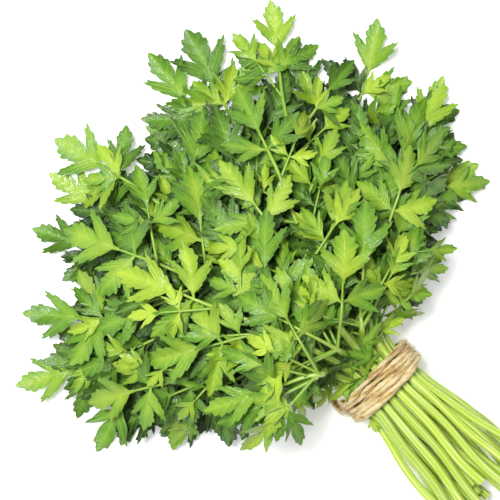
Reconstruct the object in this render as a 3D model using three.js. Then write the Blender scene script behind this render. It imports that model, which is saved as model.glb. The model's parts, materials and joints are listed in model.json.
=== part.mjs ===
// A bunch of flat-leaf parsley tied with jute twine, lying on a table.
// Millimetres, +Z up. The origin is on the table under the tie, and +X runs from the tie to the leaf tips.
// Every leafy stem is one solid: a stalk that carries sprays of three lobed leaflets on short petioles.
// The stems are laid one on another from the table up, and each leaf bends over what lies below it.
import * as THREE from "three";
import { mergeVertices } from "three/addons/utils/BufferGeometryUtils.js";

// Driving dimensions of the bunch
const CROWN_REACH = 188; // tie to the farthest leaf tip
const CROWN_ROUNDNESS = 0.6; // power of the cosine by which the reach falls off to the sides
const CROWN_LEAN = 0.01; // share by which the reach grows towards +Y
const CUT_LENGTH = 72; // tie to the cut ends, on average
const CUT_LENGTH_SPREAD = 10;
const TIE_HALF_LENGTH = 10; // the stalks run level through the twine for this far each way
const NECK = 20; // the stalks stay bundled for this far above the tie

// Stalks, packed in rows in the tie
const STALK_RADIUS = 1.8; // at the tie
const STALK_THICKENING = 0.006; // radius gained for each mm below the tie
const STALK_TOP_RADIUS = 0.8;
const STALK_TAPER = 0.6; // power by which it thins above the neck
const STALK_SIDE = 0.9; // shares of the radius at which the section's flat sides end: out from the middle,
const STALK_SHOULDER = 0.35; // above it
const STALK_UNDER = 0.85; // and below it
const STALK_PITCH = 4.3; // between neighbours in a row, at the tie
const ROW_RISE = 3.72; // between rows, at the tie
const SPLAY_BELOW = 0.0075; // growth of the spacing for each mm below the tie
const SPLAY_ABOVE = 0.012;
const RISE_BELOW = 0.0034;
const SHORTEST_UPPER = 17; // length of a stalk above the neck, at least
const UPPER_STEPS = 4; // straight lengths of a stalk above the neck
const BEND_SHARE = 0.42; // share of the way out at which a stalk's bend lies
const BEND_SPREAD = 1.25; // how far its bend keeps the spacing of the neck, and its top that of the tie
const TOP_SPREAD = 0.4;
const HANG = 0.3; // slope at which a stalk's top hangs at most
const CUT_WANDER = 1.2; // sideways wander of the cut ends

// Each row from the table up: number of stalks, half angle of its fan in degrees, reach as a share of the
// crown's, pairs of side sprays on its stalks in turn, their turn from the stalk in degrees, lean of its
// cut ends, and how far its leaves stand up.
const ROWS = [
  { stalks: 6, fan: 40, reach: [1.0, 0.9], pairs: [1, 1], turn: 60, lean: 0.05, lift: 0 },
  { stalks: 7, fan: 45, reach: [0.99, 0.8], pairs: [1, 1], turn: 60, lean: -0.06, lift: 0 },
  { stalks: 8, fan: 47, reach: [1.0, 0.78], pairs: [1, 1], turn: 61, lean: 0.03, lift: 0 },
  { stalks: 7, fan: 44, reach: [0.86, 0.6], pairs: [1, 1], turn: 62, lean: -0.04, lift: 0 },
  { stalks: 6, fan: 38, reach: [0.68, 0.42], pairs: [1, 1], turn: 62, lean: 0.06, lift: 0.05 },
];
const FAN_JITTER = 4; // degrees
const FAN_LEAN = 2; // degrees by which the whole fan turns towards -Y
const FLANK_FOLD = 0.65; // share by which an outermost stem's outer spray turns less from its stalk
const REACH_JITTER = 0.05;
const TURN_JITTER = 6; // degrees, of the side sprays

// Leaf sprays
const BLADE = 0.8; // thickness, measured upright
const LEAFLET = 27; // length of a spray's middle leaflet
const LEAFLET_JITTER = 0.14;
const SIDE_LEAFLET = 0.88; // length of a side leaflet, as a share of the middle one
const SIDE_SPRAY = 0.92; // size of a side spray, as a share of the end one
const SIDE_SPRAY_JITTER = 0.1;
const SIDE_LEAFLET_TURN = 62; // degrees from the middle leaflet
const PETIOLE = 7; // petiole of an end spray
const SIDE_PETIOLE = 17; // petiole of a side spray
const SIDE_PETIOLE_JITTER = 0.13;
const SIDE_PETIOLE_GROWTH = 0.3; // share by which the petioles of the next pair back are longer
const PETIOLE_HALF_WIDTH = 0.75;
const PETIOLE_HALF_HEIGHT = 0.6;
const CROTCH = [2.4, 1.1]; // far corner of a side leaflet's base, along and out from the petiole's end
const MIDDLE_OFFSET = 9; // from the petiole's end to the middle leaflet's base
const FIRST_PAIR = 27; // from the stalk's top back to the first pair of side sprays
const FIRST_PAIR_SHARE = 0.62; // and at most this share of a short stalk
const PAIR_STEP = 32;
const JOINT_LENGTH = 2.6; // of the stalk where a side petiole leaves it
const PITCH = -0.22; // slope of a spray along its heading, in the air
const PITCH_JITTER = 0.16;
const ROLL_JITTER = 0.12; // slope across it
const FOLD = 0.05; // slope of a leaflet's halves, up from its rib
const FOLD_JITTER = 0.2;
const DROOP = 0.22; // how far a spray sags for its length, past its petiole
const DROOP_JITTER = 0.12;
const END_WANDER = 0.12; // turn of an end spray from its stalk, in radians

// Resting one on another
const CELL = 1.1; // grid of the height map
const SAMPLE = 0.9; // spacing of the points that feel the height map
const CLEARANCE = 0.35; // air left between one blade or stalk and the next
const MAP_HALF = 260; // the height map reaches this far from the tie each way
const REST_PASSES = 40; // rounds in which a spray is bent over what lies below it
const PUSH = 0.3; // share of the way out that a sunk point is pushed in one round
const STEEPEST = 0.7; // slope of a blade at most
const ROOT_STEEPEST = 0.58; // slope at which a spray can reach over what lies below, or the stalk is lifted
const STIFF_SHARE = 0.3; // a point that hangs less than this on the spray's free points can't bend it
const OWN_REACH = 8; // farther than this from its root, a spray also rests on its own stalk and other sprays

// Twine
const TWINE_RADIUS = 1.3;
const TWINE_TURNS = 5;
const TWINE_PITCH = 2.66;
const TWINE_STEPS = 14; // per turn
const TWINE_SIDES = 5;
const TWINE_HALF_WIDTH = 19.7; // of the twine's centre line round the stalks
const TWINE_HALF_HEIGHT = 12.7;
const TWINE_SQUARENESS = 2.6; // 2 is an ellipse, and more is boxier
const TWINE_FLAT = 0.35; // depth pressed flat against the table
const BUNDLE_CENTRE = TWINE_HALF_HEIGHT + TWINE_RADIUS * Math.cos(Math.PI / TWINE_SIDES) - TWINE_FLAT;

// Finish
const LEAF_COLOURS = [0x3f7d24, 0x4b8a28, 0x58982c, 0x6cab34, 0x86bf3f]; // of each row's stems
const TWINE_COLOUR = 0xc79a5a;

// A small repeatable source of random numbers between -1 and 1
function drawsFrom(seed) {
  let state = seed;
  return () => {
    state = (state * 1664525 + 1013904223) % 4294967296;
    return state / 2147483648 - 1;
  };
}

// Outline of a leaflet of length 1 from its base to the tip, one side only: along the rib, and out from it
const MIDDLE_LEAFLET_EDGE = [
  [0.32, 0.17],
  [0.68, 0.43],
  [0.61, 0.14],
  [0.79, 0.17],
];
const SIDE_LEAFLET_EDGE = [
  [0.34, 0.18],
  [0.7, 0.4],
  [0.66, 0.16],
];
const RIB_POINT = 0.46; // the corner in the middle of each leaflet
const SIDE_BASE = 1; // from the petiole's end to a side leaflet's base

// The height of what already lies on the table, on a square grid
const MAP_CELLS = Math.ceil((2 * MAP_HALF) / CELL);
const heights = new Float64Array(MAP_CELLS * MAP_CELLS);
const cellOf = (x) => Math.floor((x + MAP_HALF) / CELL);

function cover(x, y, z) {
  const k = cellOf(x) * MAP_CELLS + cellOf(y);
  heights[k] = Math.max(heights[k], z);
}

// Lowest height of its middle that a thing of that half thickness may have at a place
function floorAt(x, y, half) {
  let highest = 0;
  for (let i = cellOf(x) - 1; i <= cellOf(x) + 1; i++)
    for (let j = cellOf(y) - 1; j <= cellOf(y) + 1; j++)
      highest = Math.max(highest, heights[i * MAP_CELLS + j]);
  return highest > 0 ? highest + CLEARANCE + half : half;
}

// Shares of a triangle's corners for points spread evenly over it
function sharesOver(a, b, c) {
  const longest = Math.max(
    Math.hypot(b.x - a.x, b.y - a.y),
    Math.hypot(c.x - b.x, c.y - b.y),
    Math.hypot(a.x - c.x, a.y - c.y),
  );
  const n = Math.ceil(longest / SAMPLE);
  const shares = [];
  for (let i = 0; i <= n; i++)
    for (let j = 0; j <= n - i; j++) shares.push([(n - i - j) / n, i / n, j / n]);
  return shares;
}

// The plan of a spray. Its points carry their place and the height that they would have in the air, counted
// from the root. The rim lists them in order round the spray, from one side of the petiole's end to the
// other.
function planSpray(root, heading, length, petiole, lift, draw) {
  const pitch = lift + PITCH + PITCH_JITTER * draw();
  const roll = ROLL_JITTER * draw();
  const fold = FOLD + FOLD_JITTER * draw();
  const droop = DROOP + DROOP_JITTER * draw();
  const forward = [Math.cos(heading), Math.sin(heading)];
  const points = [];
  const faces = [];
  const add = (u, v, rise = 0) => {
    const sag = (droop * Math.max(0, u - petiole) ** 2) / length;
    return points.push({
      x: root[0] + u * forward[0] - v * forward[1],
      y: root[1] + u * forward[1] + v * forward[0],
      rise: u * pitch + v * roll + rise - sag,
      half: BLADE / 2,
    }) - 1;
  };

  const hubRight = add(petiole, -PETIOLE_HALF_WIDTH);
  const crotchRight = add(petiole + CROTCH[0], -CROTCH[1]);
  const baseRight = add(petiole + MIDDLE_OFFSET, -PETIOLE_HALF_WIDTH);
  const baseLeft = add(petiole + MIDDLE_OFFSET, PETIOLE_HALF_WIDTH);
  const crotchLeft = add(petiole + CROTCH[0], CROTCH[1]);
  const hubLeft = add(petiole, PETIOLE_HALF_WIDTH);
  points[hubRight].half = points[hubLeft].half = PETIOLE_HALF_HEIGHT;
  faces.push([hubRight, crotchRight, crotchLeft], [hubRight, crotchLeft, hubLeft]);
  faces.push([crotchRight, baseRight, baseLeft], [crotchRight, baseLeft, crotchLeft]);

  // One leaflet: its edge in order round the tip, and a fan of triangles from a point on its rib
  const rim = [hubRight];
  const leaflet = (turn, size, edge, from, to, offset) => {
    const c = Math.cos(THREE.MathUtils.degToRad(turn));
    const s = Math.sin(THREE.MathUtils.degToRad(turn));
    const at = (p, q) => add(
      petiole + offset + size * (p * c - q * s),
      size * (p * s + q * c),
      fold * size * Math.abs(q),
    );
    const right = edge.map(([p, q]) => at(p, -q));
    const tip = at(1, 0);
    const left = [...edge].reverse().map(([p, q]) => at(p, q));
    const rib = at(RIB_POINT, 0);
    const loop = [from, ...right, tip, ...left, to];
    loop.forEach((a, i) => faces.push([rib, a, loop[(i + 1) % loop.length]]));
    rim.push(...loop.slice(1));
  };
  const side = length * SIDE_LEAFLET;
  leaflet(-SIDE_LEAFLET_TURN, side, SIDE_LEAFLET_EDGE, hubRight, crotchRight, SIDE_BASE);
  rim.push(baseRight);
  leaflet(0, length, MIDDLE_LEAFLET_EDGE, baseRight, baseLeft, MIDDLE_OFFSET);
  rim.push(crotchLeft);
  leaflet(SIDE_LEAFLET_TURN, side, SIDE_LEAFLET_EDGE, crotchLeft, hubLeft, SIDE_BASE);
  return { points, faces, rim, root, hub: [hubRight, hubLeft] };
}

// The plan of one leafy stem: the middle points of its stalk, and its sprays
function planStem(row, index, r) {
  const draw = drawsFrom(7919 * (r + 1) + 104729 * (index + 1));
  draw();
  const across = (2 * index) / (row.stalks - 1) - 1;
  const y = (across * (row.stalks - 1) * STALK_PITCH) / 2;
  const z = BUNDLE_CENTRE + (r - (ROWS.length - 1) / 2) * ROW_RISE;
  const angle = THREE.MathUtils.degToRad(across * row.fan - FAN_LEAN + FAN_JITTER * draw());
  const reach = CROWN_REACH * Math.cos(angle) ** CROWN_ROUNDNESS * (1 + CROWN_LEAN * Math.sin(angle))
    * row.reach[index % row.reach.length] * (1 + REACH_JITTER * draw());
  const length = LEAFLET * (1 + LEAFLET_JITTER * draw());
  const cut = CUT_LENGTH + CUT_LENGTH_SPREAD * draw();
  const wander = CUT_WANDER * draw();
  const radiusBelow = (d) => STALK_RADIUS + STALK_THICKENING * d;

  // Below the tie the rows spread evenly, each leaning its own way, down to the table
  const lowest = BUNDLE_CENTRE - ((ROWS.length - 1) / 2) * ROW_RISE;
  const path = [cut, cut * 0.5].map((d) => ({
    x: -d,
    y: y * (1 + SPLAY_BELOW * d) + row.lean * (d - TIE_HALF_LENGTH) + wander * (d / CUT_LENGTH) ** 2,
    z: lowest + (STALK_UNDER * radiusBelow(d) - lowest) * Math.min(1, d / CUT_LENGTH)
      + r * ROW_RISE * (1 + RISE_BELOW * d),
  }));
  path.push({ x: -TIE_HALF_LENGTH, y, z }, { x: TIE_HALF_LENGTH, y, z });
  const neck = { x: NECK, y: y * (1 + SPLAY_ABOVE * NECK), z: z * (1 + SPLAY_ABOVE * NECK) };
  path.push(neck);

  // Above the neck the stalk bends out to its own heading
  const top = Math.max(NECK + SHORTEST_UPPER, reach - length - MIDDLE_OFFSET - PETIOLE);
  const curve = new THREE.QuadraticBezierCurve(
    new THREE.Vector2(neck.x, neck.y),
    new THREE.Vector2(
      NECK + (top - NECK) * BEND_SHARE * Math.cos(angle / 2),
      neck.y * BEND_SPREAD + (top - NECK) * BEND_SHARE * Math.sin(angle / 2),
    ),
    new THREE.Vector2(top * Math.cos(angle), top * Math.sin(angle) + y * TOP_SPREAD),
  );
  const run = curve.getLength();
  const headingAt = (t) => Math.atan2(curve.getTangentAt(t).y, curve.getTangentAt(t).x);

  // Shares of the upper stalk's length at which it has a corner: even steps, and both sides of each joint
  const pairs = [];
  const backOf = (p) => Math.min(FIRST_PAIR, FIRST_PAIR_SHARE * run) + p * PAIR_STEP;
  for (let p = row.pairs[index % row.pairs.length] - 1; p >= 0; p--) if (backOf(p) < run - 4) pairs.push(p);
  const joints = pairs.map((p) => 1 - backOf(p) / run);
  const half = JOINT_LENGTH / 2 / run;
  const even = Array.from({ length: UPPER_STEPS }, (_, i) => (i + 1) / UPPER_STEPS)
    .filter((t) => joints.every((j) => Math.abs(t - j) > 0.5 / UPPER_STEPS));
  const shares = [...even, ...joints.flatMap((j) => [j - half, j + half])].sort((a, b) => a - b);
  const upperFrom = path.length - 1;
  for (const t of shares) {
    const at = curve.getPointAt(t);
    path.push({ x: at.x, y: at.y, z: 0 });
  }

  // Corners of the stalk right and left of its middle line
  path.forEach((p, i) => {
    const before = path[Math.max(0, i - 1)];
    const after = path[Math.min(path.length - 1, i + 1)];
    const way = Math.atan2(after.y - before.y, after.x - before.x);
    const upper = Math.max(0, (i - upperFrom) / (path.length - 1 - upperFrom));
    p.radius = radiusBelow(Math.max(0, -p.x)) + (STALK_TOP_RADIUS - STALK_RADIUS) * upper ** STALK_TAPER;
    p.right = [p.x + STALK_SIDE * p.radius * Math.sin(way), p.y - STALK_SIDE * p.radius * Math.cos(way)];
    p.left = [2 * p.x - p.right[0], 2 * p.y - p.right[1]];
  });

  // Sprays: pairs from the lowest up, then the one at the end
  const sprays = [];
  joints.forEach((t, k) => {
    const lower = upperFrom + 1 + shares.indexOf(t - half);
    for (const side of [-1, 1]) {
      const turn = row.turn * (1 - FLANK_FOLD * Math.max(0, side * across)) + TURN_JITTER * draw();
      const heading = headingAt(t) + THREE.MathUtils.degToRad(side * turn);
      const size = length * (SIDE_SPRAY + SIDE_SPRAY_JITTER * draw());
      const petiole = SIDE_PETIOLE * (1 + SIDE_PETIOLE_GROWTH * pairs[k])
        * (1 + SIDE_PETIOLE_JITTER * draw());
      const [a, b] = [path[lower], path[lower + 1]].map((p) => (side < 0 ? p.right : p.left));
      const root = [(a[0] + b[0]) / 2, (a[1] + b[1]) / 2];
      sprays.push({ side, lower, ...planSpray(root, heading, size, petiole, row.lift, draw) });
    }
  });
  const last = path[path.length - 1];
  sprays.push({
    side: 0,
    lower: path.length - 1,
    ...planSpray([last.x, last.y], headingAt(1) + END_WANDER * draw(), length, PETIOLE, row.lift, draw),
  });
  return { path, upperFrom, sprays };
}

// The stalk's corners that a spray grows from, right and left of the spray's own heading
function rootsOf(stem, spray) {
  const near = stem.path[spray.lower];
  const far = stem.path[Math.min(spray.lower + 1, stem.path.length - 1)];
  if (spray.side === 0) return [{ at: near.right, of: near }, { at: near.left, of: near }];
  if (spray.side < 0) return [{ at: near.right, of: near }, { at: far.right, of: far }];
  return [{ at: far.left, of: far }, { at: near.left, of: near }];
}

// Points spread evenly over a spray's blades and petiole, each with the corners that it hangs between and the
// height that it must have over the stems below it
function feel(stem, spray) {
  const roots = rootsOf(stem, spray)
    .map(({ at, of }) => ({ x: at[0], y: at[1], half: PETIOLE_HALF_HEIGHT, of }));
  const { points, faces } = spray;
  const [hubRight, hubLeft] = spray.hub.map((i) => points[i]);
  const triangles = [
    ...faces.map((face) => face.map((i) => points[i])),
    [roots[0], hubRight, hubLeft],
    [roots[0], hubLeft, roots[1]],
  ];
  spray.roots = roots;
  spray.feelers = [];
  spray.edges = [];
  for (const [a, b, c] of triangles) {
    for (const [p, q] of [[a, b], [b, c], [c, a]])
      spray.edges.push({ p, q, drop: STEEPEST * Math.hypot(p.x - q.x, p.y - q.y) });
    for (const [fa, fb, fc] of sharesOver(a, b, c)) {
      const hold = [[a, fa], [b, fb], [c, fc]];
      const mix = (key) => hold.reduce((sum, [p, f]) => sum + p[key] * f, 0);
      const free = hold.filter(([p]) => !p.of);
      const [x, y, half] = ["x", "y", "half"].map(mix);
      const reach = Math.hypot(x - spray.root[0], y - spray.root[1]);
      const grip = free.reduce((sum, [, f]) => sum + f * f, 0);
      spray.feelers.push({ x, y, half, hold, free, grip, reach, floor: floorAt(x, y, half) });
    }
  }
}

const heightAt = (hold) => hold.reduce((sum, [p, f]) => sum + p.z * f, 0);

// Bends a spray over what lies below it. A point that would sink is pushed up, with the corners that it
// hangs between, and a corner that hangs too steeply below its neighbour is lifted.
function rest(spray) {
  const { points, roots, edges } = spray;
  for (const root of roots) root.z = root.of.z;
  for (const p of points) p.z = (roots[0].z + roots[1].z) / 2 + p.rise;
  const lift = (p, z) => {
    if (!p.of) p.z = Math.max(p.z, z);
  };
  const soft = spray.feelers.filter(({ grip }) => Math.sqrt(grip) > STIFF_SHARE);
  for (const feeler of soft) {
    if (feeler.reach > OWN_REACH) feeler.floor = floorAt(feeler.x, feeler.y, feeler.half);
    for (const [p, f] of feeler.hold) if (f === 1) lift(p, feeler.floor);
  }
  for (let pass = 0; pass < REST_PASSES; pass++) {
    for (const { p, q, drop } of edges) {
      lift(p, q.z - drop);
      lift(q, p.z - drop);
    }
    for (const { hold, free, grip, floor } of soft) {
      const sunk = floor - heightAt(hold);
      if (sunk > 0) for (const [p, f] of free) p.z += (PUSH * sunk * f) / grip;
    }
  }
  for (const { x, y, hold, half } of spray.feelers) cover(x, y, heightAt(hold) + half);
}

// Calls a function for points along a straight length of the stalk, with what mixes its ends' values there
function alongLength(a, b, visit) {
  const n = Math.ceil(Math.hypot(b.x - a.x, b.y - a.y) / SAMPLE);
  for (let i = 0; i <= n; i++) {
    const share = 1 - i / n;
    visit((key) => a[key] * share + b[key] * (1 - share));
  }
}

// Lays one leafy stem on what is already there
function lay(stem) {
  const { path, upperFrom, sprays } = stem;
  const last = path.length - 1;

  // Heights that the stalk's corners must have at least, for the stalk itself and for its sprays to reach
  // over what lies below them
  const floors = path.map(() => 0);
  for (let i = upperFrom - 1; i < last; i++)
    alongLength(path[i], path[i + 1], (mix) => {
      const need = floorAt(mix("x"), mix("y"), mix("radius"));
      floors[i] = Math.max(floors[i], need);
      floors[i + 1] = Math.max(floors[i + 1], need);
    });
  for (const spray of sprays) {
    feel(stem, spray);
    const need = Math.max(...spray.feelers.map(({ floor, reach }) => floor - ROOT_STEEPEST * reach));
    for (const i of spray.roots.map(({ of }) => path.indexOf(of))) floors[i] = Math.max(floors[i], need);
  }

  // A taut line over those floors, that nowhere hangs too steeply
  const along = path.map(() => 0);
  for (let i = upperFrom + 1; i <= last; i++)
    along[i] = along[i - 1] + Math.hypot(path[i].x - path[i - 1].x, path[i].y - path[i - 1].y);
  path[upperFrom].z = Math.max(path[upperFrom].z, floors[upperFrom]);
  floors[upperFrom] = path[upperFrom].z;
  for (let i = upperFrom + 1; i <= last; i++) {
    path[i].z = floors[i];
    for (let a = upperFrom; a < i; a++)
      for (let b = i + 1; b <= last; b++) {
        const share = (along[i] - along[a]) / (along[b] - along[a]);
        path[i].z = Math.max(path[i].z, floors[a] + (floors[b] - floors[a]) * share);
      }
  }
  for (let i = upperFrom + 1; i <= last; i++)
    path[i].z = Math.max(path[i].z, path[i - 1].z - HANG * (along[i] - along[i - 1]));

  for (let i = upperFrom - 1; i < last; i++)
    alongLength(path[i], path[i + 1], (mix) => {
      for (const side of [-STALK_SIDE, 0, STALK_SIDE])
        cover(mix("x"), mix("y") + side * mix("radius"), mix("z") + mix("radius"));
    });
  sprays.forEach(rest);
}

// A closed solid from points and triangles
function solid(points, faces) {
  const geometry = new THREE.BufferGeometry();
  geometry.setAttribute("position", new THREE.Float32BufferAttribute(points.flat(), 3));
  geometry.setIndex(faces.flat());
  return mergeVertices(geometry, 1e-4);
}

// The solid of one leafy stem: a five-sided stalk with a ridge on top and a flat underside, whose side walls
// open into the sprays' blades
function stemSolid(stem) {
  const points = [];
  const faces = [];
  const put = (x, y, z) => points.push([x, y, z]) - 1;
  const corner = ([x, y], z, up, down) => ({ top: put(x, y, z + up), bottom: put(x, y, z - down) });
  const top = (a, b, c) => faces.push([a.top, b.top, c.top]);
  const both = (a, b, c) => {
    top(a, b, c);
    faces.push([a.bottom, c.bottom, b.bottom]);
  };

  const rings = stem.path.map((p) => ({
    right: corner(p.right, p.z, STALK_SHOULDER * p.radius, STALK_UNDER * p.radius),
    left: corner(p.left, p.z, STALK_SHOULDER * p.radius, STALK_UNDER * p.radius),
    ridge: { top: put(p.x, p.y, p.z + p.radius) },
  }));
  for (let i = 0; i < rings.length - 1; i++) {
    const [a, b] = [rings[i], rings[i + 1]];
    top(a.right, b.right, b.ridge);
    top(a.right, b.ridge, a.ridge);
    top(a.ridge, b.ridge, b.left);
    top(a.ridge, b.left, a.left);
    faces.push([a.right.bottom, a.left.bottom, b.left.bottom]);
    faces.push([a.right.bottom, b.left.bottom, b.right.bottom]);
  }
  top(rings[0].ridge, rings[0].left, rings[0].right);

  // A spray joins the rim between its two roots
  const grow = (spray, right, left) => {
    const made = spray.points.map((p) => corner([p.x, p.y], p.z, p.half, p.half));
    for (const [a, b, c] of spray.faces) both(made[a], made[b], made[c]);
    const [hubRight, hubLeft] = spray.hub.map((i) => made[i]);
    if (spray.side !== 0) {
      both(right, hubRight, hubLeft);
      both(right, hubLeft, left);
    } else {
      const { ridge } = rings[rings.length - 1];
      top(right, hubRight, ridge);
      top(ridge, hubRight, hubLeft);
      top(ridge, hubLeft, left);
      faces.push([right.bottom, hubLeft.bottom, hubRight.bottom]);
      faces.push([right.bottom, left.bottom, hubLeft.bottom]);
    }
    return spray.rim.map((i) => made[i]);
  };
  const find = (side, i) => stem.sprays.find((spray) => spray.side === side && spray.lower === i);
  const rim = [];
  for (let i = 0; i < rings.length; i++) {
    rim.push(rings[i].right);
    const spray = find(-1, i);
    if (spray) rim.push(...grow(spray, rings[i].right, rings[i + 1].right));
  }
  const end = rings[rings.length - 1];
  rim.push(...grow(find(0, rings.length - 1), end.right, end.left));
  for (let i = rings.length - 1; i >= 0; i--) {
    const spray = find(1, i);
    if (spray) rim.push(...grow(spray, rings[i + 1].left, rings[i].left));
    rim.push(rings[i].left);
  }
  rim.forEach((a, i) => {
    const b = rim[(i + 1) % rim.length];
    faces.push([a.top, a.bottom, b.bottom], [a.top, b.bottom, b.top]);
  });
  return solid(points, faces);
}

// The twine goes round the stalks in turns that lie side by side, pressed flat where they meet the table
function twineSolid() {
  const count = TWINE_TURNS * TWINE_STEPS;
  const power = 2 / TWINE_SQUARENESS;
  const rounded = (value) => Math.sign(value) * Math.abs(value) ** power;
  const centre = (i) => {
    const turns = (i + 0.5) / TWINE_STEPS; // half a step on, so a straight length lies under each turn
    const turn = turns * 2 * Math.PI - Math.PI / 2;
    return new THREE.Vector3(
      (turns - (TWINE_TURNS + 1) / 2) * TWINE_PITCH,
      TWINE_HALF_WIDTH * rounded(Math.cos(turn)),
      BUNDLE_CENTRE + TWINE_HALF_HEIGHT * rounded(Math.sin(turn)),
    );
  };
  const points = [];
  const faces = [];
  for (let i = 0; i <= count; i++) {
    const along = centre(i + 1).sub(centre(i - 1)).normalize();
    const out = along.clone().cross(new THREE.Vector3(1, 0, 0)).normalize();
    const side = along.clone().cross(out);
    for (let k = 0; k < TWINE_SIDES; k++) {
      const turn = ((k + 0.5) * 2 * Math.PI) / TWINE_SIDES;
      const point = centre(i)
        .addScaledVector(out, TWINE_RADIUS * Math.cos(turn))
        .addScaledVector(side, TWINE_RADIUS * Math.sin(turn));
      points.push([point.x, point.y, Math.max(point.z, 0)]);
      if (i === count) continue;
      const a = i * TWINE_SIDES + k;
      const b = i * TWINE_SIDES + ((k + 1) % TWINE_SIDES);
      faces.push([a, b, b + TWINE_SIDES], [a, b + TWINE_SIDES, a + TWINE_SIDES]);
    }
  }
  const last = count * TWINE_SIDES;
  for (let k = 1; k < TWINE_SIDES - 1; k++) faces.push([0, k + 1, k], [last, last + k, last + k + 1]);
  return solid(points, faces);
}

function addMesh(group, name, geometry, color, roughness) {
  geometry.computeVertexNormals();
  const mesh = new THREE.Mesh(geometry, new THREE.MeshStandardMaterial({ color, roughness, metalness: 0 }));
  mesh.name = name;
  group.add(mesh);
}

// The whole bunch: in each row first every other stem, then those between them
const bunch = new THREE.Group();
addMesh(bunch, "twine", twineSolid(), TWINE_COLOUR, 0.95);
let laid = 0;
ROWS.forEach((row, r) => {
  for (const start of [0, 1])
    for (let index = start; index < row.stalks; index += 2) {
      const stem = planStem(row, index, r);
      lay(stem);
      laid += 1;
      addMesh(bunch, "leafy_stem_" + String(laid).padStart(2, "0"), stemSolid(stem), LEAF_COLOURS[r], 0.5);
    }
});

export default bunch;
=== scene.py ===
"""Dresses a tied bunch of flat-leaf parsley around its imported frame, laid out as an add-on.

The origin is on the table under the tie, and +X runs from the tie to the leaf tips.
Plan dimensions are in millimetres, and meshes are in metres. Where a number is drawn, its mean and its
spread are given as a pair, or its spread as a jitter.
"""

import json
import math

import bpy
import numpy as np
from bpy.props import FloatProperty, FloatVectorProperty, IntProperty, PointerProperty
from bpy.types import Operator, Panel, PropertyGroup
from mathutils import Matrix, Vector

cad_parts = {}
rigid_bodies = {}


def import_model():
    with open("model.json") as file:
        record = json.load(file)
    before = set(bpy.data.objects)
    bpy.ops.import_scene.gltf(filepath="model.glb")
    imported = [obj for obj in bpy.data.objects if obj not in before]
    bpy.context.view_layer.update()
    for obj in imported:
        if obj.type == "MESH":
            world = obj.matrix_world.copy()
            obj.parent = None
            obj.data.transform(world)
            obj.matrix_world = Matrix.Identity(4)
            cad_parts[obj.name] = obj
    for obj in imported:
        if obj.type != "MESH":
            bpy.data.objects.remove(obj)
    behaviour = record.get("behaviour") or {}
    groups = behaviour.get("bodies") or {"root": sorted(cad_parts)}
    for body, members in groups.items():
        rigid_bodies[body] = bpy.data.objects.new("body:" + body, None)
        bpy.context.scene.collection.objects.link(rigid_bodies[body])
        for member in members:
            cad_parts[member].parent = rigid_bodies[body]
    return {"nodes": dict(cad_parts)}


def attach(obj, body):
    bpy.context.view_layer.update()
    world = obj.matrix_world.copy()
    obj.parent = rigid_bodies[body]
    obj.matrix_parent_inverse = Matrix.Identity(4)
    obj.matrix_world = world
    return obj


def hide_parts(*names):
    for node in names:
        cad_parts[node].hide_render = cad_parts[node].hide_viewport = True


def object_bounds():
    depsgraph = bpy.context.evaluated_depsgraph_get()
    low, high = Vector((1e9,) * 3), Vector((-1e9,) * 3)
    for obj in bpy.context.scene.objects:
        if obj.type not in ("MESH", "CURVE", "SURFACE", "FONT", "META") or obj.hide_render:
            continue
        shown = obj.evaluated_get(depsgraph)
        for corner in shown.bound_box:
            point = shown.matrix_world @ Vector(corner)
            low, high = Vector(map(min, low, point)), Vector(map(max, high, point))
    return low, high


bl_info = {
    "name": "Parsley Bunch",
    "version": (1, 0, 0),
    "blender": (4, 5, 0),
    "location": "View3D > Sidebar > Parsley",
    "description": "A tied bunch of flat-leaf parsley with serrated leaves, ridged stalks and jute twine",
    "category": "Add Mesh",
}

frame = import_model()
CAD_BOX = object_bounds()
MM = 0.001

# Plan of the bunch, as its solids are laid out
CROWN_REACH = 188
CROWN_ROUNDNESS = 0.6
CROWN_LEAN = 0.01
CUT_LENGTH = 72
CUT_LENGTH_SPREAD = 10
TIE_HALF_LENGTH = 10
NECK = 20
STALK_RADIUS = 1.8
STALK_THICKENING = 0.006
STALK_TOP_RADIUS = 0.8
STALK_TAPER = 0.6
STALK_SIDE = 0.9
STALK_PITCH = 4.3
SPLAY_BELOW = 0.0075
SPLAY_ABOVE = 0.012
SHORTEST_UPPER = 17
UPPER_STEPS = 4
BEND_SHARE = 0.42
BEND_SPREAD = 1.25
TOP_SPREAD = 0.4
CUT_WANDER = 1.2
ROWS = (
    {"stalks": 6, "fan": 40, "reach": (1.0, 0.9), "turn": 60, "lean": 0.05},
    {"stalks": 7, "fan": 45, "reach": (0.99, 0.8), "turn": 60, "lean": -0.06},
    {"stalks": 8, "fan": 47, "reach": (1.0, 0.78), "turn": 61, "lean": 0.03},
    {"stalks": 7, "fan": 44, "reach": (0.86, 0.6), "turn": 62, "lean": -0.04},
    {"stalks": 6, "fan": 38, "reach": (0.68, 0.42), "turn": 62, "lean": 0.06},
)
FAN_JITTER = 4
FAN_LEAN = 2
FLANK_FOLD = 0.65
REACH_JITTER = 0.05
TURN_JITTER = 6
LEAFLET = 27
LEAFLET_JITTER = 0.14
SIDE_LEAFLET = 0.88
SIDE_SPRAY = 0.92
SIDE_SPRAY_JITTER = 0.1
SIDE_LEAFLET_TURN = 62
PETIOLE = 7
SIDE_PETIOLE = 17
SIDE_PETIOLE_JITTER = 0.13
PETIOLE_HALF_WIDTH = 0.75
MIDDLE_OFFSET = 9
SIDE_OFFSET = 1
PAIR_BACK = 27
PAIR_BACK_SHARE = 0.62
JOINT_LENGTH = 2.6
END_WANDER = 0.12
SPRAY_DRAWS = 4
SLIM = 1.02
SLIM_SPREAD = 0.12
SLIM_WAVES = (1.7, 2.4)
BEND_DIVISIONS = 200
MIDDLE_CORNERS = ((0.32, 0.17), (0.68, 0.43), (0.61, 0.14), (0.79, 0.17))
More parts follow.
